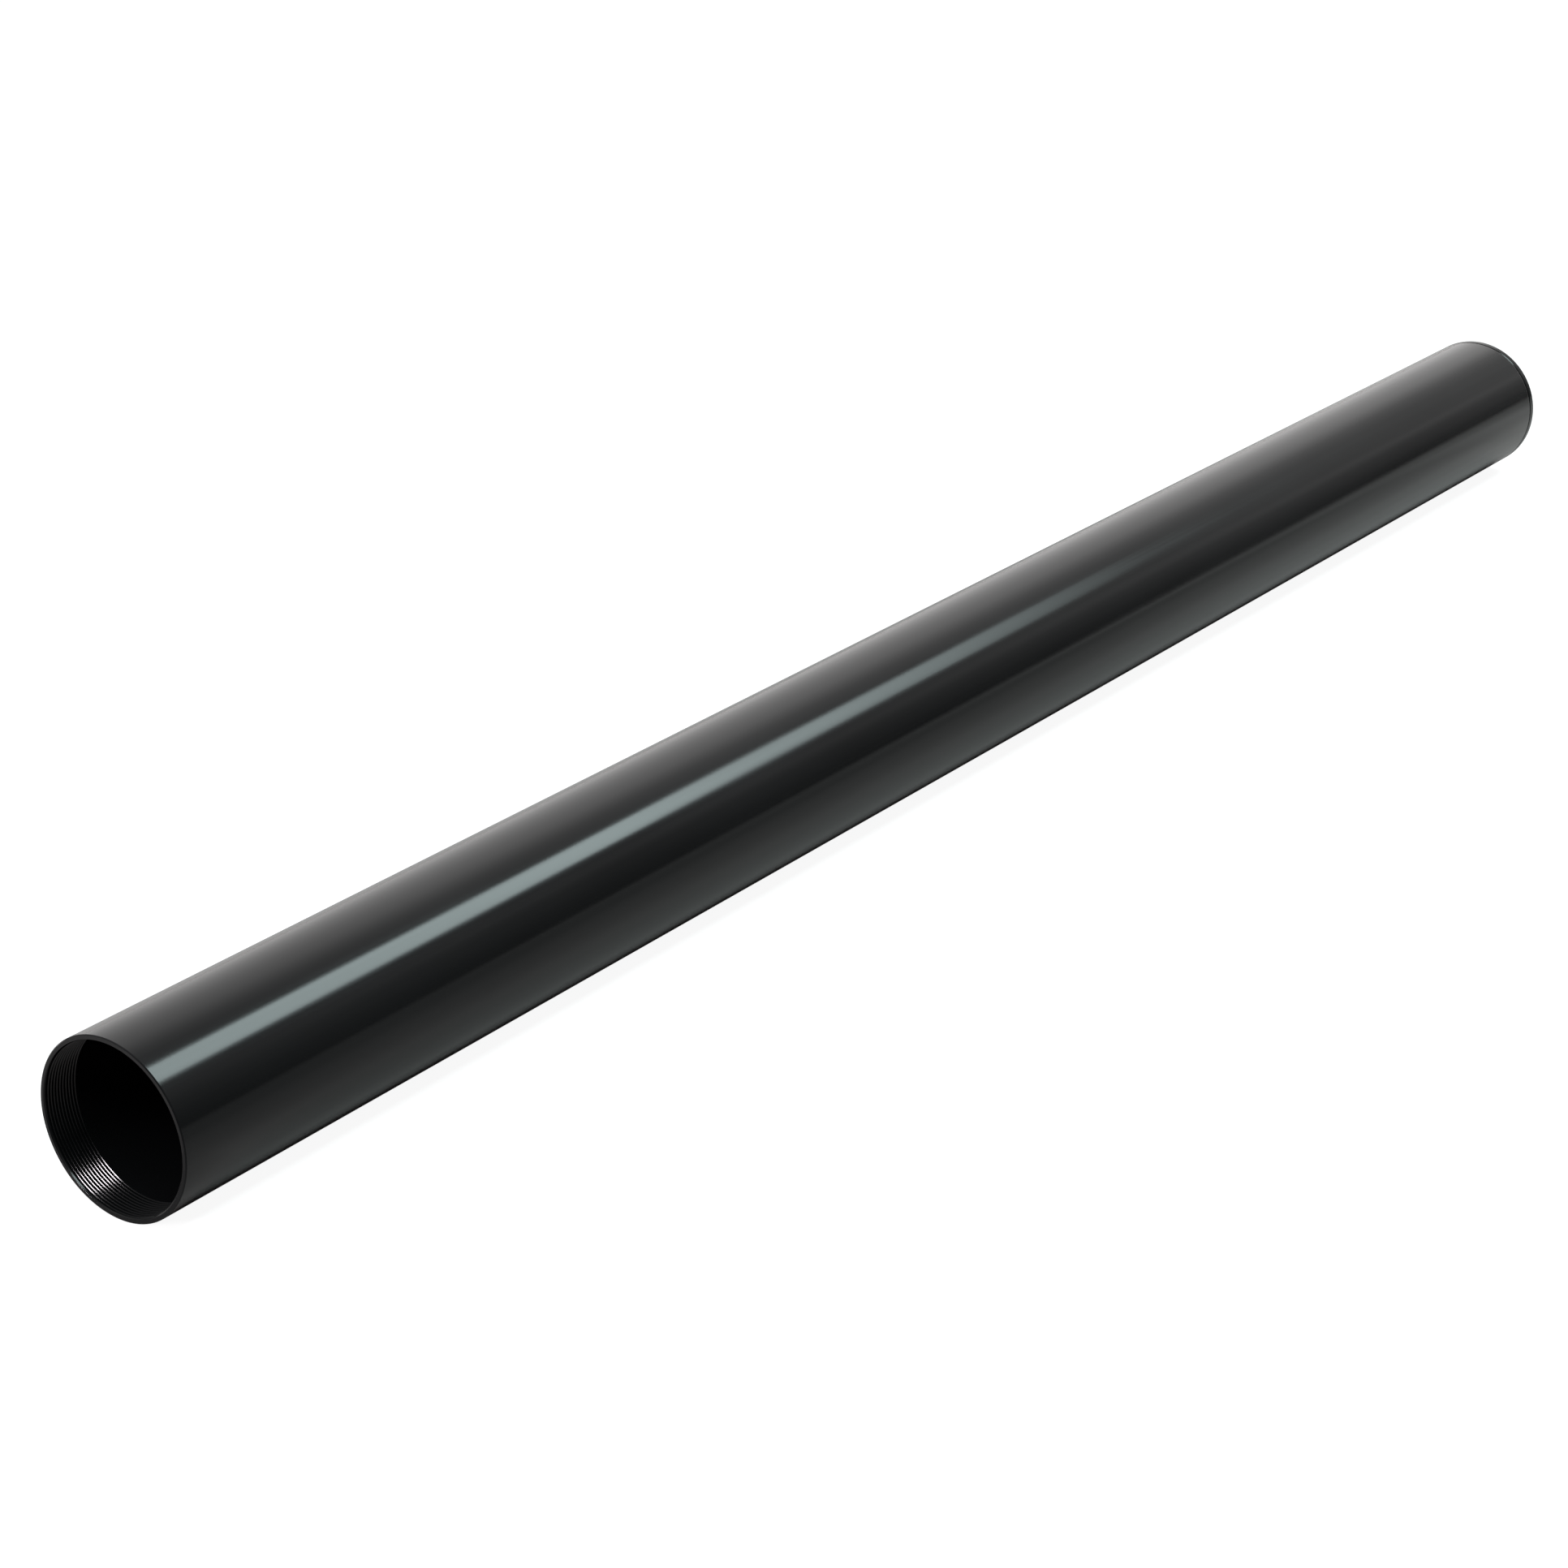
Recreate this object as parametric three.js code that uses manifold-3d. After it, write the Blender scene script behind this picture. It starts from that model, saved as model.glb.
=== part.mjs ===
// A straight rod case: a thin black anodised aluminium tube with a fine thread cut in
// its bore at both ends. The mouth is open. The far end is closed by a base cap that
// screws into the tube, with an O-ring under its flange and a foam pad in its cup.
// Millimetres, +Z up. The tube's axis runs along Y at z = OUTER_RADIUS, its mouth
// faces -Y, and the case lies on z = 0.

import * as THREE from "three";
import Module from "manifold-3d";
import { mergeVertices } from "three/addons/utils/BufferGeometryUtils.js";

const wasm = await Module();
wasm.setup();

// ---- Driving dimensions ----
const OVERALL_LENGTH = 750;
const OUTER_RADIUS = 25;
const WALL = 1.5;
const EDGE_BREAK = 0.35; // chamfer on the outer edges of the tube's ends
const LEAD_IN = 0.25; // chamfer on the bore's edges

const PITCH = 1;
const THREAD_MAJOR_RADIUS = 24;
const THREAD_TURNS = 10.5; // turns cut in the bore at each end
const MOUTH_THREAD_PHASE = 0.34; // from the mouth to the first groove, straight above the axis
const ROOT_FLAT = PITCH / 8;
const FLANK_SLOPE = Math.tan(Math.PI / 6); // each flank leans 30 degrees

const FLANGE_THICKNESS = 3;
const FLANGE_CHAMFER = 0.5;
const SEAM_GAP = 0.3; // between the tube's end and the flange
const SPIGOT_LENGTH = 10;
const SPIGOT_CHAMFER = 0.5;
const SPIGOT_INNER_RADIUS = 20.5; // the spigot is a cup, and the flange is its floor
const NECK_WIDTH = 2.4; // the groove under the flange that holds the O-ring
const NECK_RADIUS = 21.7;
const MALE_TURNS = 6;
const CREST_CLEARANCE = 0.2; // from the male thread's crest to the female root
const ROOT_CLEARANCE = 0.3; // from the male thread's root to the bore
const O_RING_SECTION_RADIUS = 0.7;
const O_RING_GAP = 0.2; // from the neck to the O-ring
const SPANNER_HOLE_RADIUS = 2;
const SPANNER_HOLE_DEPTH = 1.8;
const SPANNER_HOLE_OFFSET = 15; // from the axis

const PAD_THICKNESS = 8;
const PAD_GAP = 0.3;
const PAD_CHAMFER = 0.6;

// Facets round the axis. Both counts divide by four, so a flat faces down.
const OUTER_FACETS = 64;
const BORE_FACETS = 32;
const SECTION_FACETS = 8; // round the O-ring's section
const HOLE_FACETS = 16; // round a spanner hole

// ---- Worked out from the driving dimensions ----
const BORE_RADIUS = OUTER_RADIUS - WALL;
const MOUTH_Y = -OVERALL_LENGTH / 2;
const BASE_Y = OVERALL_LENGTH / 2;
const FLANGE_INNER_Y = BASE_Y - FLANGE_THICKNESS;
const TUBE_END_Y = FLANGE_INNER_Y - SEAM_GAP;
const SPIGOT_END_Y = FLANGE_INNER_Y - SPIGOT_LENGTH;
const NECK_START_Y = FLANGE_INNER_Y - NECK_WIDTH;
const MALE_CORE_RADIUS = BORE_RADIUS - ROOT_CLEARANCE;
const MALE_CREST_RADIUS = THREAD_MAJOR_RADIUS - CREST_CLEARANCE;
const BASE_THREAD_START_Y = TUBE_END_Y - THREAD_TURNS * PITCH;
const RUN_PAST = 1; // how far a cut or joined shape runs past the face that it crosses
const THREAD_ROOTING = 0.1; // how far a thread's profile reaches past the bore or the core

const ANODISED = { color: 0x161616, roughness: 0.25, metalness: 0.1 };
const RUBBER = { color: 0x0e0e0e, roughness: 0.8, metalness: 0 };
const FOAM = { color: 0x1c1c1e, roughness: 1, metalness: 0 };

// The flats of a faceted round stand at the stated radius, so its corners stand outside it.
function cornerRadius(radius, facets) {
  return radius / Math.cos(Math.PI / facets);
}

// A shape turned about Y from a profile of [radius, y] points, counterclockwise.
function turned(profile, facets) {
  const points = profile.map(([radius, y]) => new THREE.Vector2(cornerRadius(radius, facets), y));
  const firstCorner = Math.PI / facets;
  return new THREE.LatheGeometry(points, facets, firstCorner, 2 * Math.PI);
}

// A right-hand helix about Y. The profile's x runs along Y, and its y is a radius.
function helix(profile, startY, turns) {
  const shape = new THREE.Shape(profile.map(([x, radius]) => new THREE.Vector2(x, radius)));
  const options = { depth: turns, steps: turns * BORE_FACETS, bevelEnabled: false };
  const geometry = new THREE.ExtrudeGeometry(shape, options);
  const position = geometry.attributes.position;
  for (let i = 0; i < position.count; i += 1) {
    const turn = position.getZ(i);
    const angle = Math.PI / BORE_FACETS + turn * 2 * Math.PI;
    const radius = cornerRadius(position.getY(i), BORE_FACETS);
    const y = startY + position.getX(i) + turn * PITCH;
    position.setXYZ(i, radius * Math.sin(angle), y, radius * Math.cos(angle));
  }
  return geometry;
}

// A thread profile that is narrow at tipRadius and widens along both flanks to baseRadius.
function threadProfile(tipRadius, baseRadius) {
  const tip = ROOT_FLAT / 2;
  const base = tip + (tipRadius - baseRadius) * FLANK_SLOPE;
  return [[-base, baseRadius], [base, baseRadius], [tip, tipRadius], [-tip, tipRadius]];
}

function toSolid(geometry) {
  const bare = geometry.clone();
  bare.deleteAttribute("normal");
  bare.deleteAttribute("uv");
  const merged = mergeVertices(bare);
  const vertProperties = new Float32Array(merged.attributes.position.array);
  const triVerts = new Uint32Array(merged.index.array);
  return new wasm.Manifold(new wasm.Mesh({ numProp: 3, vertProperties, triVerts }));
}

function toGeometry(solid) {
  const mesh = solid.getMesh();
  const geometry = new THREE.BufferGeometry();
  geometry.setAttribute("position", new THREE.BufferAttribute(mesh.vertProperties, 3));
  geometry.setIndex(new THREE.BufferAttribute(mesh.triVerts, 1));
  geometry.computeVertexNormals();
  return geometry;
}

function boreCutter() {
  const wide = BORE_RADIUS + LEAD_IN + RUN_PAST;
  return turned([
    [0, MOUTH_Y - RUN_PAST],
    [wide, MOUTH_Y - RUN_PAST],
    [BORE_RADIUS, MOUTH_Y + LEAD_IN],
    [BORE_RADIUS, TUBE_END_Y - LEAD_IN],
    [wide, TUBE_END_Y + RUN_PAST],
    [0, TUBE_END_Y + RUN_PAST],
  ], BORE_FACETS);
}

function tubeBodyGeometry() {
  const edge = OUTER_RADIUS - EDGE_BREAK;
  const bar = turned([
    [0, MOUTH_Y],
    [edge, MOUTH_Y],
    [OUTER_RADIUS, MOUTH_Y + EDGE_BREAK],
    [OUTER_RADIUS, TUBE_END_Y - EDGE_BREAK],
    [edge, TUBE_END_Y],
    [0, TUBE_END_Y],
  ], OUTER_FACETS);
  const groove = threadProfile(THREAD_MAJOR_RADIUS, BORE_RADIUS - THREAD_ROOTING);
  const cutTurns = THREAD_TURNS + RUN_PAST;
  return toGeometry(
    toSolid(bar)
      .subtract(toSolid(boreCutter()))
      .subtract(toSolid(helix(groove, MOUTH_Y + MOUTH_THREAD_PHASE - RUN_PAST, cutTurns)))
      .subtract(toSolid(helix(groove, BASE_THREAD_START_Y, cutTurns))),
  );
}

function flange() {
  return turned([
    [0, FLANGE_INNER_Y],
    [OUTER_RADIUS - EDGE_BREAK, FLANGE_INNER_Y],
    [OUTER_RADIUS, FLANGE_INNER_Y + EDGE_BREAK],
    [OUTER_RADIUS, BASE_Y - FLANGE_CHAMFER],
    [OUTER_RADIUS - FLANGE_CHAMFER, BASE_Y],
    [0, BASE_Y],
  ], OUTER_FACETS);
}

function spigot() {
  const intoFlange = FLANGE_INNER_Y + RUN_PAST;
  return turned([
    [SPIGOT_INNER_RADIUS, SPIGOT_END_Y],
    [MALE_CORE_RADIUS - SPIGOT_CHAMFER, SPIGOT_END_Y],
    [MALE_CORE_RADIUS, SPIGOT_END_Y + SPIGOT_CHAMFER],
    [MALE_CORE_RADIUS, NECK_START_Y],
    [NECK_RADIUS, NECK_START_Y],
    [NECK_RADIUS, intoFlange],
    [SPIGOT_INNER_RADIUS, intoFlange],
    [SPIGOT_INNER_RADIUS, SPIGOT_END_Y],
  ], BORE_FACETS);
}

function spannerHole(side) {
  const height = SPANNER_HOLE_DEPTH + RUN_PAST;
  const hole = new THREE.CylinderGeometry(SPANNER_HOLE_RADIUS, SPANNER_HOLE_RADIUS, height, HOLE_FACETS);
  hole.translate(side * SPANNER_HOLE_OFFSET, BASE_Y - SPANNER_HOLE_DEPTH + height / 2, 0);
  return hole;
}

function baseCapGeometry() {
  const ridge = threadProfile(MALE_CREST_RADIUS, MALE_CORE_RADIUS - THREAD_ROOTING);
  // Whole pitches from the start of the tube's thread, so that the two are in mesh.
  const ridgeStartY = BASE_THREAD_START_Y + 2 * PITCH;
  return toGeometry(
    toSolid(flange())
      .add(toSolid(spigot()))
      .add(toSolid(helix(ridge, ridgeStartY, MALE_TURNS)))
      .subtract(toSolid(spannerHole(-1)))
      .subtract(toSolid(spannerHole(1))),
  );
}

function oRingGeometry() {
  const centreRadius = NECK_RADIUS + O_RING_GAP + O_RING_SECTION_RADIUS;
  const centreY = (NECK_START_Y + FLANGE_INNER_Y) / 2;
  const section = new THREE.Path().absarc(centreRadius, centreY, O_RING_SECTION_RADIUS, 0, 2 * Math.PI);
  const corners = section.getSpacedPoints(SECTION_FACETS).map((point) => [point.x, point.y]);
  return turned(corners, BORE_FACETS);
}

function padGeometry() {
  const radius = SPIGOT_INNER_RADIUS - PAD_GAP;
  const backY = FLANGE_INNER_Y - PAD_GAP;
  const frontY = backY - PAD_THICKNESS;
  return turned([
    [0, frontY],
    [radius - PAD_CHAMFER, frontY],
    [radius, frontY + PAD_CHAMFER],
    [radius, backY],
    [0, backY],
  ], BORE_FACETS);
}

function part(name, geometry, finish) {
  const mesh = new THREE.Mesh(geometry, new THREE.MeshStandardMaterial(finish));
  mesh.name = name;
  return mesh;
}

const rodCase = new THREE.Group();
rodCase.add(part("tube_body", tubeBodyGeometry(), ANODISED));
rodCase.add(part("base_cap", baseCapGeometry(), ANODISED));
rodCase.add(part("base_o_ring", oRingGeometry(), RUBBER));
rodCase.add(part("base_pad", padGeometry(), FOAM));
rodCase.position.z = OUTER_RADIUS;

export default rodCase;
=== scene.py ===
"""Rod case: a black anodised tube with a threaded mouth and a screw-in base cap.

Every turned piece is a surface of revolution about the case's axis, which runs along Y.
Threads are helical bands woven into those surfaces. The mesh code works in millimetres
and hands Blender metres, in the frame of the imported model.
"""
import math

import bmesh
import bpy
from mathutils import Matrix, Vector


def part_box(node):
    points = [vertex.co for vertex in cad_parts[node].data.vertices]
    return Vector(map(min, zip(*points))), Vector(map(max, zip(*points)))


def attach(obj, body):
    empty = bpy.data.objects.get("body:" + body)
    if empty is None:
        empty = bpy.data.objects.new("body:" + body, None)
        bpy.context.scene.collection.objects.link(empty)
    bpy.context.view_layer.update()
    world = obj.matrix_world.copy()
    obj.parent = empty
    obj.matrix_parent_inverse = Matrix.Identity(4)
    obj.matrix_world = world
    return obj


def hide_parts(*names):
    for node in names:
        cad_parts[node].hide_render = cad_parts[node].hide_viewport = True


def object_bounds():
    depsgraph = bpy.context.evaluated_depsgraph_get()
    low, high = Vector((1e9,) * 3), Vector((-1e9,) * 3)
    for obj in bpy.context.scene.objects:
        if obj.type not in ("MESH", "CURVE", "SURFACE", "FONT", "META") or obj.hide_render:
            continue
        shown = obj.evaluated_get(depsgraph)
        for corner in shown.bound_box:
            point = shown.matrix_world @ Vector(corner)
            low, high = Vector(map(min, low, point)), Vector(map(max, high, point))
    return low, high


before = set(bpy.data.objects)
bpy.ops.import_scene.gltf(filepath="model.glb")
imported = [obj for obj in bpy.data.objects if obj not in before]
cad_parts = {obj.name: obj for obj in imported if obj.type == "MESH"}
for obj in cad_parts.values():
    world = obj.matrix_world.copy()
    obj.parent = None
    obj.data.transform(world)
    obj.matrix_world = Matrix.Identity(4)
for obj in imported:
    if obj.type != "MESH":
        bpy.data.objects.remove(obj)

CAD_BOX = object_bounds()

MM = 0.001
TURN = 2 * math.pi

# ---- The case, in millimetres ----
WALL = 1.5
SEAM_EDGE = 0.35  # radius of the outer edges on both sides of the base cap's seam
MOUTH_CHAMFER = 0.3
RIM_EDGE = 0.18  # radius between the rim and the lead-in
LEAD_IN = 0.2
PITCH = 1.0
THREAD_DEPTH = 0.5
MOUTH_THREAD_TURNS = 10.0
MOUTH_THREAD_START = 0.59  # from the rim to the middle of the first groove
MOUTH_THREAD_ANGLE = 0.25  # in turns, from the top towards +X
MOUTH_THREAD_RUNOUT = 1.3  # from the last groove to the plain bore
BASE_THREAD_TURNS = 9.7
BASE_THREAD_LENGTH = 10.5

FLANGE = 3.0
CAP_EDGE = 0.5  # radius of the base face's edge
SPIGOT = 10.0
SPIGOT_CHAMFER = 0.5
SPIGOT_BORE = 20.5
SPIGOT_LIP = 0.2  # radius of the cup's lip
CUP_FILLET = 0.3
CUP_FLOOR_RING = 0.5  # from the cup's wall to the ring round its flat floor
NECK_WIDTH = 2.4
NECK_RADIUS = 21.7
NECK_FILLET = 0.2
NECK_BREAK = 0.1  # chamfer between the neck's wall and its two sides
MALE_CORE = 23.3
MALE_DEPTH = 0.6
MALE_TURNS = 6.0
MALE_START_TURNS = 2  # whole turns from the start of the tube's thread, to be in mesh
SPANNER_HOLE = 2.0
SPANNER_HOLE_DEPTH = 1.8
SPANNER_HOLE_OFFSET = 15.0
DRILL_CHAMFER = 0.2  # at the bottom of a spanner hole
COUNTERSINK = 0.25
CUT_PAST = 1.0  # how far the drill runs past the face that it enters
PAD_EDGE = 0.8
PAD_CROWN = 0.5
PAD_CROWN_RINGS = (0.15, 0.3, 0.45, 0.6, 0.72, 0.83)  # shares of the pad's radius

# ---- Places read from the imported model, in millimetres ----
TUBE_LO, TUBE_HI = (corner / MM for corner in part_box("tube_body"))
CAP_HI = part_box("base_cap")[1] / MM
O_RING_LO, O_RING_HI = (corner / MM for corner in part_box("base_o_ring"))
PAD_LO, PAD_HI = (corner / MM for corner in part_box("base_pad"))
OUTER = (TUBE_HI.x - TUBE_LO.x) / 2
BORE = OUTER - WALL
AXIS_Z = (TUBE_HI.z + TUBE_LO.z) / 2
MOUTH_Y = TUBE_LO.y
TUBE_END_Y = TUBE_HI.y
BASE_Y = CAP_HI.y
FLANGE_Y = BASE_Y - FLANGE
SPIGOT_END_Y = FLANGE_Y - SPIGOT
NECK_Y = FLANGE_Y - NECK_WIDTH
BASE_THREAD_Y = TUBE_END_Y - BASE_THREAD_LENGTH

SEGMENTS = 160
HOLE_SEGMENTS = 64
O_RING_STEPS = 24  # round the O-ring's section
WALL_RINGS = 60  # rings along the tube's plain walls
SUPPORT = 0.3  # from an edge to the ring that keeps the wall beside it straight
FLAT_MARGIN = 0.15  # the same on a flat ring
SHARP_DEGREES = 40

# One turn of a thread: (place across the turn, in pitches; share of the depth).
THREAD_FORM = [(-0.50, 0), (-0.37, 0), (-0.05, 1), (0.05, 1), (0.37, 0)]
THREAD_FADE = 0.3  # in turns, at each end of a thread

# ---- The view: from the front right, looking down at the mouth ----
CAMERA_FROM_MOUTH = Vector((23.49, -21.29, 16.78))  # in tube radii
VIEW_AZIMUTH = math.radians(35.89)
VIEW_ELEVATION = math.radians(22.92)
LENS_MM = 82.7

# ---- Finish and light ----
COAT_DARK = (0.0035, 0.0037, 0.0040)
COAT_LIGHT = (0.0060, 0.0062, 0.0066)
ANODISED_ROUGHNESS = 0.145
ROUGHNESS_MOTTLE, ROUGHNESS_STREAKS = 0.02, 0.03  # each way
TURNING_LINES = 3200.0  # per metre of radius, on the faces that were turned
TURNED_FROM, TURNED_FULLY = 0.7, 0.95  # how square to the axis such a face is
RUBBER_DARK, RUBBER_LIGHT = (0.006, 0.006, 0.006), (0.016, 0.016, 0.017)
RUBBER_ROUGHNESS = (0.45, 0.65)
FOAM_DARK, FOAM_LIGHT = (0.009, 0.009, 0.010), (0.030, 0.030, 0.032)
FOAM_ROUGHNESS = (0.85, 0.98)
FOAM_CELLS = 1400.0  # per metre
# Features per metre along X, Y and Z in each material's noises.
DRAWN_GRAIN = (900, 5, 900)
COAT_CLOUD = (22, 9, 22)
SATIN_TOOTH = (9000, 9000, 9000)
RUBBER_GRAIN = (2500, 2500, 2500)
RUBBER_BLOOM = (300, 300, 300)
FOAM_CLOUD = (120, 120, 120)
# Heights of the bumps, in millimetres.
TOOTH_BUMP, DRAWN_BUMP, TURNED_BUMP = 0.0012, 0.0015, 0.03
RUBBER_BUMP, FOAM_BUMP = 0.01, 0.12

FLOOR_HALF = 15.0
FLOOR_GLOW = 0.92
FLOOR_SEEN_ALBEDO = 0.25
# Painted light and shade in reflections: how pale the floor looks in reflections by its x in
# metres, with a dip just beside the tube as a painted contact shadow, and how that changes with y
# on either side of the tube. The two sides blend within FLOOR_BLEND of the axis.
FLOOR_PAINTED_SHADES = [
    (-2.50, 2.20), (-0.60, 1.30), (-0.20, 0.66), (-0.13, 0.56), (-0.05, 0.46), (0.00, 0.39),
    (0.022, 0.32), (0.035, 0.42), (0.06, 0.29), (0.16, 0.17), (0.60, 0.15),
]
FLOOR_LEFT_GAINS = [(-0.40, 0.70), (-0.34, 1.0), (-0.05, 1.0), (0.40, 0.74), (0.50, 1.2)]
FLOOR_RIGHT_GAINS = [(-0.40, 0.27), (-0.34, 0.92), (0.05, 1.18), (0.40, 1.65), (0.50, 2.8)]
FLOOR_BLEND = 0.03
# Colour of the floor's painted reflection, warmed against the strip light's tint.
FLOOR_PAINTED_REFLECTION_TINT = (1.02, 0.93, 0.915)
# Brightness of the surroundings by the angle about the tube, from straight up towards +X.
STUDIO_LEVELS = [
    (-90, 1.20), (-30, 1.02), (-10, 0.60), (5, 0.46), (34, 0.42),
    (40, 0.44), (48, 0.53), (58, 0.33), (74, 0.20), (90, 0.09),
]
# It is dimmer towards the camera's side, by y less a share of x, and low down in front
# of the mouth, by y plus z. A bright wall stands beyond the base.
SIDE_SLANT = 0.25
SIDE_FALL = [(0.30, 0.42), (0.60, 0.56), (0.70, 0.84), (0.80, 1.0)]
LOW_FALL = [(-0.10, 0.22), (0.25, 1.0)]
FAR_WALL = [(0.90, 0), (0.98, 0.9)]
BACKDROP_COLOUR = (1.0, 0.985, 0.98)
# The strip light leans towards +X. Both angles are in degrees, seen from the tube.
STRIP_LEAN = 21.8
STRIP_HALF_WIDTH = 10.4
STRIP_DISTANCE = 1.2
STRIP_NEAR_Y, STRIP_FADE_Y, STRIP_FAR_Y = -1.3, 1.0, 1.75
STRIP_RADIANCE = 5.9
STRIP_COLOUR = (0.83, 1.0, 1.0)
MOUTH_LIGHT_TOWARD = Vector((-0.141, -0.929, 0.342))  # from the mouth
MOUTH_LIGHT_ALONG = Vector((0.91, -0.24, -0.34))
MOUTH_LIGHT_DISTANCE = 1.1
MOUTH_LIGHT_WIDTH, MOUTH_LIGHT_LENGTH = 0.14, 0.28
MOUTH_LIGHT_RADIANCE = 75.0
MOUTH_LIGHT_COLOUR = (1.0, 0.93, 0.98)


# ============================== mesh code ==============================

class Turned:
    """A surface round the case's axis, built ring by ring."""

    def __init__(self, axis_x=0.0, segments=SEGMENTS):
        self.axis_x = axis_x
        self.segments = segments
        self.verts = []
        self.faces = []
        self.last = None

    def point(self, step, radius, y):
        """Adds a vertex, step segments round from the top towards +X."""
        angle = step / self.segments * TURN
        place = (self.axis_x + radius * math.sin(angle), y, AXIS_Z + radius * math.cos(angle))
        self.verts.append([c * MM for c in place])
        return len(self.verts) - 1

    def ring(self, radius, y):
        return [self.point(i, radius, y) for i in range(self.segments)]

    def rings(self, profile):
        """Carries the surface on through a ring at each (radius, y)."""
        for radius, y in profile:
            new = self.ring(radius, y)
            if self.last is not None:
                self.join(self.last, new)
            self.last = new

    def join(self, low, high):
        for i in range(self.segments):
            k = (i + 1) % self.segments
            self.faces.append([low[i], low[k], high[k], high[i]])

    def pole(self, y):
        """Fills the last ring with triangles that meet on the axis."""
        centre = self.point(0, 0, y)
        for i in range(self.segments):
            self.faces.append([self.last[i], self.last[(i + 1) % self.segments], centre])

    def thread(self, radius, depth, start_y, start_turn, turns, end_y, least=None):
        """Carries the surface on through a helical band to a plain ring at end_y.

        start_y and start_turn place the middle of the first turn. least(y), if
        given, is the smallest radius that the surface may have at y.
        """
        n, steps = self.segments, round(turns * self.segments)
        offset, fade_steps = round(start_turn * n), THREAD_FADE * n

        def helix_point(t, across, share):
            fade = max(0.0, min(1.0, t / fade_steps, (steps - t) / fade_steps))
            y = start_y + (t / n + across) * PITCH
            r = radius + depth * share * fade
            return self.point(t + offset, max(r, least(y)) if least else r, y)

        edge = [helix_point(t, THREAD_FORM[0][0], 0) for t in range(steps + n + 1)]
        columns = [
            [edge[t], *(helix_point(t, *form) for form in THREAD_FORM[1:]), edge[t + n]]
            for t in range(steps + 1)
        ]
        for left, right in zip(columns, columns[1:]):
            for j in range(len(left) - 1):
                self.faces.append([left[j], right[j], right[j + 1], left[j + 1]])

        def low(i):
            return self.last[(i + offset) % n]

        for i in range(n - 1):
            self.faces.append([low(i), low(i + 1), edge[i + 1], edge[i]])
        self.faces.append([low(n - 1), low(n), *columns[0], edge[n - 1]])

        end = self.ring(radius, end_y)

        def high(i):
            return end[(i + steps + offset) % n]

        self.faces.append([edge[steps + 1], high(1), high(0), *reversed(columns[-1])])
        for i in range(1, n):
            self.faces.append([edge[steps + i], edge[steps + i + 1], high(i + 1), high(i)])
        self.last = end

    def object(self, name, material):
        mesh = bpy.data.meshes.new(name)
        mesh.from_pydata(self.verts, [], self.faces)
        tidy = bmesh.new()
        tidy.from_mesh(mesh)
        bmesh.ops.recalc_face_normals(tidy, faces=tidy.faces)
        tidy.to_mesh(mesh)
        tidy.free()
        mesh.shade_smooth()
        mesh.set_sharp_from_angle(angle=math.radians(SHARP_DEGREES))
        mesh.materials.append(material)
        piece = bpy.data.objects.new(name, mesh)
        bpy.context.scene.collection.objects.link(piece)
        return piece


def rounded(centre, radius, start, end, steps=5):
    """Profile points on an arc in the (radius, y) plane. Angles are in degrees from +radius."""
    points = []
    for i in range(steps + 1):
        angle = math.radians(start + (end - start) * i / steps)
        points.append((centre[0] + radius * math.cos(angle), centre[1] + radius * math.sin(angle)))
    return points


def straight(start, end, steps):
    """Profile points on a straight run, without its two ends."""
    return [
        (start[0] + (end[0] - start[0]) * i / steps, start[1] + (end[1] - start[1]) * i / steps)
        for i in range(1, steps)
    ]


def flat(first, last, y):
    """Profile points just inside the two edges of a flat ring, which keep its shading flat."""
    step = math.copysign(FLAT_MARGIN, last - first)
    return [(first + step, y), (last - step, y)]


def lead_in(face_y):
    """The least radius near an end of the bore: a 45 degree lead-in at the face."""
    return lambda y: BORE + max(0.0, LEAD_IN - abs(y - face_y))


def tube_body(material):
    """The tube: along its outside from the mouth to the base end, and back through its bore."""
    inside = BORE + LEAD_IN + RIM_EDGE
    shoulder = OUTER - SEAM_EDGE
    shape = Turned()
    shape.rings(rounded((inside, MOUTH_Y + RIM_EDGE), RIM_EDGE, 225, 270))
    shape.rings(flat(inside, OUTER - MOUTH_CHAMFER, MOUTH_Y))
    shape.rings([(OUTER - MOUTH_CHAMFER, MOUTH_Y), (OUTER, MOUTH_Y + MOUTH_CHAMFER)])
    wall_start = (OUTER, MOUTH_Y + MOUTH_CHAMFER + SUPPORT)
    wall_end = (OUTER, TUBE_END_Y - SEAM_EDGE - SUPPORT)
    shape.rings([wall_start, *straight(wall_start, wall_end, WALL_RINGS), wall_end])
    shape.rings(rounded((shoulder, TUBE_END_Y - SEAM_EDGE), SEAM_EDGE, 0, 90))
    shape.rings(flat(shoulder, inside, TUBE_END_Y))
    shape.rings(rounded((inside, TUBE_END_Y - RIM_EDGE), RIM_EDGE, 90, 135))
    outside_end = shape.last

    shape.last = list(range(SEGMENTS))
    bore_start = (BORE, MOUTH_Y + MOUTH_THREAD_TURNS * PITCH + MOUTH_THREAD_RUNOUT)
    bore_end = (BORE, BASE_THREAD_Y - PITCH)
    shape.thread(
        BORE, THREAD_DEPTH, MOUTH_Y + MOUTH_THREAD_START, MOUTH_THREAD_ANGLE,
        MOUTH_THREAD_TURNS, bore_start[1], lead_in(MOUTH_Y),
    )
    shape.rings([*straight(bore_start, bore_end, WALL_RINGS), bore_end])
    shape.thread(
        BORE, THREAD_DEPTH, BASE_THREAD_Y, 0,
        BASE_THREAD_TURNS, TUBE_END_Y - LEAD_IN, lead_in(TUBE_END_Y),
    )
    shape.join(shape.last, outside_end)
    return shape.object("tube_body_turned", material)


def base_cap(material):
    """The cap: its cup, its threaded spigot and its flange, with two spanner holes."""
    shape = Turned()
    cup(shape)
    spigot(shape)
    flange(shape)
    cap = shape.object("base_cap_turned", material)
    for side in (-1, 1):
        drill(cap, side * SPANNER_HOLE_OFFSET, material)
    return cap


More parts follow.
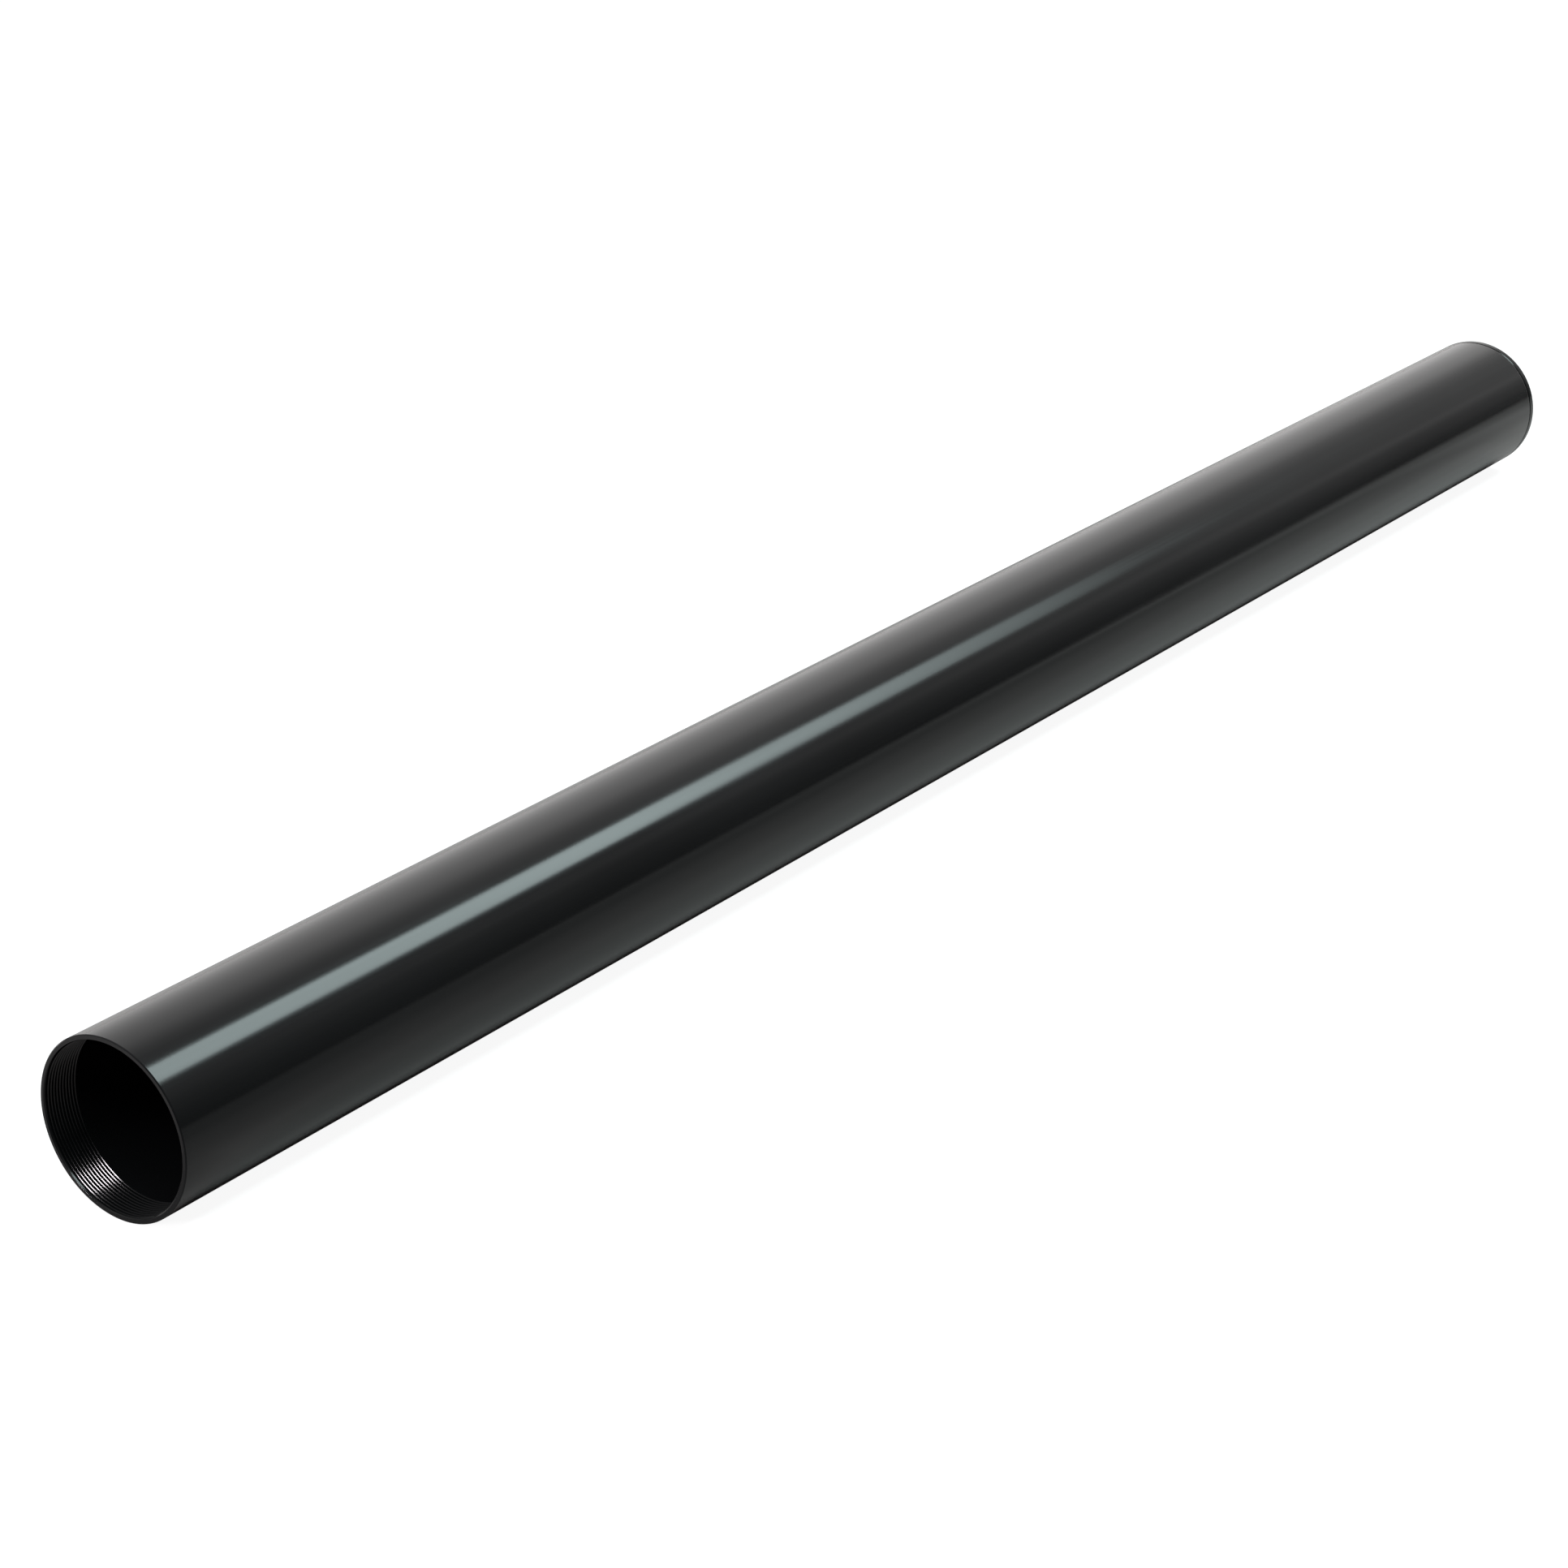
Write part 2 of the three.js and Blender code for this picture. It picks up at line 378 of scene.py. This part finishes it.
def cup(shape):
    """From the middle of the cup's floor to its lip."""
    shape.rings([(SPIGOT_BORE - CUP_FLOOR_RING, FLANGE_Y)])
    shape.pole(FLANGE_Y)
    floor_edge = (SPIGOT_BORE - CUP_FILLET, FLANGE_Y - CUP_FILLET)
    shape.rings(rounded(floor_edge, CUP_FILLET, 90, 0, 3))
    lip = (SPIGOT_BORE + SPIGOT_LIP, SPIGOT_END_Y + SPIGOT_LIP)
    shape.rings(rounded(lip, SPIGOT_LIP, 180, 270, 3))


def spigot(shape):
    """From the spigot's end along its male thread, and through the O-ring's neck."""
    shape.rings([
        (MALE_CORE - SPIGOT_CHAMFER, SPIGOT_END_Y),
        (MALE_CORE, SPIGOT_END_Y + SPIGOT_CHAMFER),
    ])
    shape.thread(
        MALE_CORE, MALE_DEPTH, BASE_THREAD_Y + MALE_START_TURNS * PITCH, 0,
        MALE_TURNS, NECK_Y - NECK_BREAK,
    )
    shape.rings([
        (MALE_CORE - NECK_BREAK, NECK_Y),
        (NECK_RADIUS + NECK_BREAK, NECK_Y),
        (NECK_RADIUS, NECK_Y + NECK_BREAK),
    ])
    root = (NECK_RADIUS + NECK_FILLET, FLANGE_Y - NECK_FILLET)
    shape.rings(rounded(root, NECK_FILLET, 180, 90, 3))


def flange(shape):
    """From the neck round the flange to the middle of the base face."""
    shape.rings(flat(NECK_RADIUS + NECK_FILLET, OUTER - SEAM_EDGE, FLANGE_Y))
    shape.rings(rounded((OUTER - SEAM_EDGE, FLANGE_Y + SEAM_EDGE), SEAM_EDGE, 270, 360))
    shape.rings(rounded((OUTER - CAP_EDGE, BASE_Y - CAP_EDGE), CAP_EDGE, 0, 90, 8))
    shape.rings([(OUTER - CAP_EDGE - SUPPORT, BASE_Y)])
    shape.pole(BASE_Y)


def drill(cap, x, material):
    """Cuts a blind spanner hole with a small countersink into the base face."""
    bottom, top = BASE_Y - SPANNER_HOLE_DEPTH, BASE_Y + CUT_PAST
    cutter = Turned(axis_x=x, segments=HOLE_SEGMENTS)
    cutter.rings([(SPANNER_HOLE - DRILL_CHAMFER, bottom)])
    cutter.pole(bottom)
    cutter.rings([
        (SPANNER_HOLE, bottom + DRILL_CHAMFER),
        (SPANNER_HOLE, BASE_Y - COUNTERSINK),
        (SPANNER_HOLE + COUNTERSINK + CUT_PAST, top),
    ])
    cutter.pole(top)
    tool = cutter.object("spanner_hole_cutter", material)
    cut = cap.modifiers.new("spanner_hole", "BOOLEAN")
    cut.operation = "DIFFERENCE"
    cut.solver = "EXACT"
    cut.object = tool
    apply_modifiers(cap)
    bpy.data.objects.remove(tool)


def apply_modifiers(piece):
    bpy.context.view_layer.update()
    seen = piece.evaluated_get(bpy.context.evaluated_depsgraph_get())
    mesh = bpy.data.meshes.new_from_object(seen)
    piece.modifiers.clear()
    piece.data = mesh
    mesh.shade_smooth()
    mesh.set_sharp_from_angle(angle=math.radians(SHARP_DEGREES))


def o_ring(material):
    """A plain ring of round section."""
    section = (O_RING_HI.y - O_RING_LO.y) / 2
    centre = ((O_RING_HI.x - O_RING_LO.x) / 2 - section, (O_RING_HI.y + O_RING_LO.y) / 2)
    last_angle = 360 * (1 - 1 / O_RING_STEPS)
    shape = Turned()
    shape.rings(rounded(centre, section, 0, last_angle, O_RING_STEPS - 1))
    shape.join(shape.last, list(range(SEGMENTS)))
    return shape.object("base_o_ring_moulded", material)


def base_pad(material):
    """A foam disc with a low crown, cut a little smaller than its cup."""
    radius = (PAD_HI.x - PAD_LO.x) / 2
    front, back = PAD_LO.y, PAD_HI.y
    shape = Turned()
    crown = [(share * radius, front + PAD_CROWN * share ** 4) for share in PAD_CROWN_RINGS]
    shape.rings(crown[:1])
    shape.pole(front)
    shape.rings(crown[1:])
    edge = (radius - PAD_EDGE, front + PAD_CROWN + PAD_EDGE)
    shape.rings(rounded(edge, PAD_EDGE, 280, 360, 6))
    shape.rings([(radius, back), (radius - SUPPORT, back)])
    shape.pole(back)
    return shape.object("base_pad_foam", material)


# ============================== materials ==============================

class Nodes:
    """A node tree, with short names for what the materials and the lights share."""

    def __init__(self, owner):
        owner.use_nodes = True
        self.tree = owner.node_tree
        self.coords = self.add("ShaderNodeTexCoord")

    def add(self, kind, **inputs):
        """Adds a node. Each input is a constant or the output that feeds it."""
        node = self.tree.nodes.new(kind)
        self.feed(node, **inputs)
        return node

    def feed(self, node, **inputs):
        for name, value in inputs.items():
            socket = node.inputs[name.replace("_", " ")]
            if isinstance(value, bpy.types.NodeSocket):
                self.tree.links.new(value, socket)
            else:
                socket.default_value = value

    def math(self, operation, *values):
        node = self.tree.nodes.new("ShaderNodeMath")
        node.operation = operation
        for socket, value in zip(node.inputs, values):
            if isinstance(value, bpy.types.NodeSocket):
                self.tree.links.new(value, socket)
            else:
                socket.default_value = value
        return node.outputs[0]

    def parts(self, vector):
        return self.add("ShaderNodeSeparateXYZ", Vector=vector).outputs

    def noise(self, per_metre, detail=3.0):
        """Noise with the given number of features per metre along X, Y and Z."""
        scale = self.tree.nodes.new("ShaderNodeVectorMath")
        scale.operation = "MULTIPLY"
        scale.inputs[1].default_value = per_metre
        self.tree.links.new(self.coords.outputs["Object"], scale.inputs[0])
        noise = self.add("ShaderNodeTexNoise", Vector=scale.outputs[0], Scale=1.0, Detail=detail)
        return noise.outputs["Fac"]

    def spread(self, value, low, high, low_in=0.3, high_in=0.7):
        """Stretches a noise's middle range onto low..high."""
        node = self.add("ShaderNodeMapRange", Value=value, From_Min=low_in, From_Max=high_in,
                        To_Min=low, To_Max=high)
        return node.outputs[0]

    def ramp(self, value, stops):
        """A smooth curve through the (value, level) stops."""
        low, high = stops[0][0], stops[-1][0]
        share = self.spread(value, 0, 1, low, high)
        node = self.add("ShaderNodeValToRGB", Fac=share)
        elements = node.color_ramp.elements
        for at, _ in stops[1:-1]:
            elements.new((at - low) / (high - low))
        for element, (_, level) in zip(elements, stops):
            element.color = (level, level, level, 1)
        return node.outputs["Color"]

    def colours(self, factor, low, high):
        node = self.tree.nodes.new("ShaderNodeMix")
        node.data_type = "RGBA"
        node.clamp_factor = False
        self.feed(node, Factor=factor)
        node.inputs["A"].default_value = (*low, 1)
        node.inputs["B"].default_value = (*high, 1)
        return node.outputs["Result"]

    def bump(self, height, distance_mm, strength=1.0, under=None):
        node = self.add("ShaderNodeBump", Height=height, Distance=distance_mm * MM,
                        Strength=strength)
        if under is not None:
            self.feed(node, Normal=under)
        return node.outputs[0]


def new_material(name):
    material = bpy.data.materials.new(name)
    nodes = Nodes(material)
    return material, nodes, nodes.tree.nodes["Principled BSDF"]


def anodised(name, turned_share):
    """Black anodised aluminium: faint drawing lines along Y, and a fine satin tooth.

    turned_share is how strongly faces square to the axis show the lathe's rings.
    """
    material, nodes, shader = new_material(name)
    drawn = nodes.noise(DRAWN_GRAIN, detail=4)
    cloud = nodes.noise(COAT_CLOUD)
    tooth = nodes.noise(SATIN_TOOTH, detail=2)
    rings = lathe_rings(nodes)
    facing = nodes.math("ABSOLUTE", nodes.parts(nodes.coords.outputs["Normal"])[1])
    on_face = nodes.spread(facing, 0, turned_share, TURNED_FROM, TURNED_FULLY)
    along = nodes.spread(facing, 1, 0, TURNED_FROM, TURNED_FULLY)

    tint = nodes.colours(nodes.spread(cloud, 0, 1), COAT_DARK, COAT_LIGHT)
    streaks = nodes.spread(drawn, -ROUGHNESS_STREAKS, ROUGHNESS_STREAKS)
    mottle = nodes.spread(
        cloud, ANODISED_ROUGHNESS - ROUGHNESS_MOTTLE, ANODISED_ROUGHNESS + ROUGHNESS_MOTTLE,
    )
    tooth_normal = nodes.bump(tooth, TOOTH_BUMP)
    drawn_normal = nodes.bump(nodes.math("MULTIPLY", drawn, along), DRAWN_BUMP, under=tooth_normal)
    ringed = nodes.math("MULTIPLY", rings, on_face)
    nodes.feed(
        shader, Base_Color=tint, Metallic=0.0, IOR=1.5,
        Roughness=nodes.math("ADD", nodes.math("MULTIPLY", streaks, along), mottle),
        Normal=nodes.bump(ringed, TURNED_BUMP, under=drawn_normal),
    )
    return material


def lathe_rings(nodes):
    """Noise by the distance from the case's axis: the lines that a lathe tool leaves."""
    x, _, z = nodes.parts(nodes.coords.outputs["Object"])
    from_axis = nodes.math("SUBTRACT", z, AXIS_Z * MM)
    squares = nodes.math("ADD", nodes.math("POWER", x, 2.0), nodes.math("POWER", from_axis, 2.0))
    rings = nodes.add("ShaderNodeTexNoise", Scale=1.0, Detail=3.0)
    rings.noise_dimensions = "1D"
    nodes.feed(rings, W=nodes.math("MULTIPLY", nodes.math("SQRT", squares), TURNING_LINES))
    return rings.outputs["Fac"]


def rubber():
    """Moulded nitrile rubber with a fine grain and a patchy bloom."""
    material, nodes, shader = new_material("nitrile_rubber")
    grain = nodes.noise(RUBBER_GRAIN, detail=4)
    bloom = nodes.spread(nodes.noise(RUBBER_BLOOM), 0, 1)
    nodes.feed(
        shader, Base_Color=nodes.colours(bloom, RUBBER_DARK, RUBBER_LIGHT), Metallic=0.0, IOR=1.52,
        Roughness=nodes.spread(bloom, *RUBBER_ROUGHNESS, 0, 1),
        Normal=nodes.bump(grain, RUBBER_BUMP),
    )
    return material


def foam():
    """Closed-cell foam: small dimples where the skived face opens its cells, with painted shade in
    each dimple.
    """
    material, nodes, shader = new_material("closed_cell_foam")
    where = nodes.coords.outputs["Object"]
    cells = nodes.add("ShaderNodeTexVoronoi", Vector=where, Scale=FOAM_CELLS)
    cell = nodes.spread(cells.outputs["Distance"], 0, 1, 0.0, 0.6)
    cloud = nodes.noise(FOAM_CLOUD)
    # Painted shade: the colour darkens towards the middle of each cell's dimple, over a random tone
    # from the cloud.
    shade = nodes.math("MULTIPLY", cell, nodes.spread(cloud, 0.6, 1.0))
    nodes.feed(
        shader, Base_Color=nodes.colours(shade, FOAM_DARK, FOAM_LIGHT), Metallic=0.0, IOR=1.45,
        Sheen_Weight=0.15, Sheen_Roughness=0.6, Roughness=nodes.spread(cloud, *FOAM_ROUGHNESS),
        Normal=nodes.bump(cell, FOAM_BUMP, 0.8),
    )
    return material


# ========================= floor, light and camera =========================

def floor():
    """A pale floor. Reflections see painted shade on it instead: dimmer, most of all on the +X
    side, like the shade under black flags, with a painted contact shadow beside the tube.
    """
    mesh = bpy.data.meshes.new("floor")
    height = CAD_BOX[0].z
    signs = [(-1, -1), (1, -1), (1, 1), (-1, 1)]
    corners = [(x * FLOOR_HALF, y * FLOOR_HALF, height) for x, y in signs]
    mesh.from_pydata(corners, [], [[0, 1, 2, 3]])
    stage = bpy.data.objects.new("floor", mesh)
    bpy.context.scene.collection.objects.link(stage)

    material, nodes, spare = new_material("pale_floor")
    nodes.tree.nodes.remove(spare)
    grey = FLOOR_SEEN_ALBEDO
    seen = nodes.add("ShaderNodeBsdfDiffuse", Color=(grey, grey, grey, 1))
    glow = nodes.add("ShaderNodeEmission", Strength=FLOOR_GLOW)
    lit = nodes.tree.nodes.new("ShaderNodeAddShader")
    # Painted shade for reflections only: the floor's paleness by x, with its painted contact
    # shadow, scaled by y on each side.
    x, y, _ = nodes.parts(nodes.coords.outputs["Object"])
    left, right = nodes.ramp(y, FLOOR_LEFT_GAINS), nodes.ramp(y, FLOOR_RIGHT_GAINS)
    gain = nodes.spread(x, left, right, -FLOOR_BLEND, FLOOR_BLEND)
    shade = nodes.math("MULTIPLY", nodes.ramp(x, FLOOR_PAINTED_SHADES), gain)
    tinted = nodes.colours(shade, (0, 0, 0), FLOOR_PAINTED_REFLECTION_TINT)
    painted_reflection = nodes.add("ShaderNodeBsdfDiffuse", Color=tinted)
    path = nodes.add("ShaderNodeLightPath")
    pick = nodes.tree.nodes.new("ShaderNodeMixShader")
    output = nodes.tree.nodes["Material Output"]
    for source, target in (
        (seen.outputs[0], lit.inputs[0]), (glow.outputs[0], lit.inputs[1]),
        (path.outputs["Is Camera Ray"], pick.inputs[0]), (painted_reflection.outputs[0], pick.inputs[1]),
        (lit.outputs[0], pick.inputs[2]), (pick.outputs[0], output.inputs["Surface"]),
    ):
        nodes.tree.links.new(source, target)
    mesh.materials.append(material)


def surroundings():
    """The studio round the tube: white to the camera, and graded in reflections."""
    world = bpy.data.worlds.new("studio")
    bpy.context.scene.world = world
    nodes = Nodes(world)
    x, y, z = nodes.parts(nodes.coords.outputs["Generated"])
    degrees = nodes.math("MULTIPLY", nodes.math("ARCTAN2", x, z), 180 / math.pi)
    side = nodes.math("SUBTRACT", y, nodes.math("MULTIPLY", x, SIDE_SLANT))
    level = nodes.math("MULTIPLY", nodes.ramp(degrees, STUDIO_LEVELS), nodes.ramp(side, SIDE_FALL))
    level = nodes.math("MULTIPLY", level, nodes.ramp(nodes.math("ADD", y, z), LOW_FALL))
    level = nodes.math("ADD", level, nodes.ramp(y, FAR_WALL))
    direct = nodes.add("ShaderNodeLightPath").outputs["Is Camera Ray"]
    backdrop = nodes.tree.nodes["Background"]
    colour = nodes.colours(direct, BACKDROP_COLOUR, (1, 1, 1))
    nodes.feed(backdrop, Color=colour, Strength=nodes.spread(direct, level, 1.0, 0, 1))


def softbox(name, place, target, along, width, length, radiance, colour):
    """An area light facing its target, with its length as near to along as it can be."""
    light = bpy.data.lights.new(name, "AREA")
    light.shape = "RECTANGLE"
    light.size, light.size_y = width, length
    light.energy = radiance * math.pi * width * length
    light.color = colour
    lamp = bpy.data.objects.new(name, light)
    back = (place - target).normalized()
    side = along.cross(back).normalized()
    lamp.matrix_world = Matrix((side, back.cross(side), back)).transposed().to_4x4()
    lamp.location = place
    lamp.visible_camera = False
    bpy.context.scene.collection.objects.link(lamp)
    return light


def strip_light():
    """A long softbox above the tube. It dims towards its far end."""
    lean = math.radians(STRIP_LEAN)
    away = Vector((math.sin(lean), 0, math.cos(lean))) * STRIP_DISTANCE
    target = Vector((0, (STRIP_FAR_Y + STRIP_NEAR_Y) / 2, AXIS_Z * MM))
    width = 2 * STRIP_DISTANCE * math.tan(math.radians(STRIP_HALF_WIDTH))
    length = STRIP_FAR_Y - STRIP_NEAR_Y
    light = softbox("strip_light", target + away, target, Vector((0, 1, 0)), width, length,
                    STRIP_RADIANCE, STRIP_COLOUR)
    nodes = Nodes(light)
    along = nodes.parts(nodes.add("ShaderNodeNewGeometry").outputs["Parametric"])[1]
    fade = [((STRIP_FADE_Y - STRIP_NEAR_Y) / length, 1), (1, 0)]
    nodes.feed(nodes.tree.nodes["Emission"], Strength=nodes.ramp(along, fade))


def mouth_light():
    """A small light in front of the mouth. It glints on the thread's flanks."""
    mouth = Vector((0, MOUTH_Y, AXIS_Z)) * MM
    place = mouth + MOUTH_LIGHT_TOWARD.normalized() * MOUTH_LIGHT_DISTANCE
    softbox("mouth_light", place, mouth, MOUTH_LIGHT_ALONG, MOUTH_LIGHT_WIDTH, MOUTH_LIGHT_LENGTH,
            MOUTH_LIGHT_RADIANCE, MOUTH_LIGHT_COLOUR)


def camera():
    """The camera at the photograph's angle and distance."""
    data = bpy.data.cameras.new("camera")
    data.sensor_width = 36
    data.lens = LENS_MM
    data.clip_start, data.clip_end = 0.01, 50
    cam = bpy.data.objects.new("camera", data)
    mouth = Vector((0, MOUTH_Y, AXIS_Z))
    cam.location = (mouth + CAMERA_FROM_MOUTH * OUTER) * MM
    cam.rotation_euler = (math.pi / 2 - VIEW_ELEVATION, 0, VIEW_AZIMUTH)
    bpy.context.scene.collection.objects.link(cam)
    bpy.context.scene.camera = cam


# =============================== the scene ===============================

camera()
floor()
surroundings()
strip_light()
mouth_light()
bpy.context.scene.view_settings.view_transform = "Standard"

tube = tube_body(anodised("black_anodised_tube", 0.6))
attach(tube, "tube")
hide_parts("tube_body")

cap = base_cap(anodised("black_anodised_cap", 1.0))
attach(cap, "cap")
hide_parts("base_cap")

seal = o_ring(rubber())
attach(seal, "seal")
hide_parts("base_o_ring")

pad = base_pad(foam())
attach(pad, "cap")
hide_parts("base_pad")
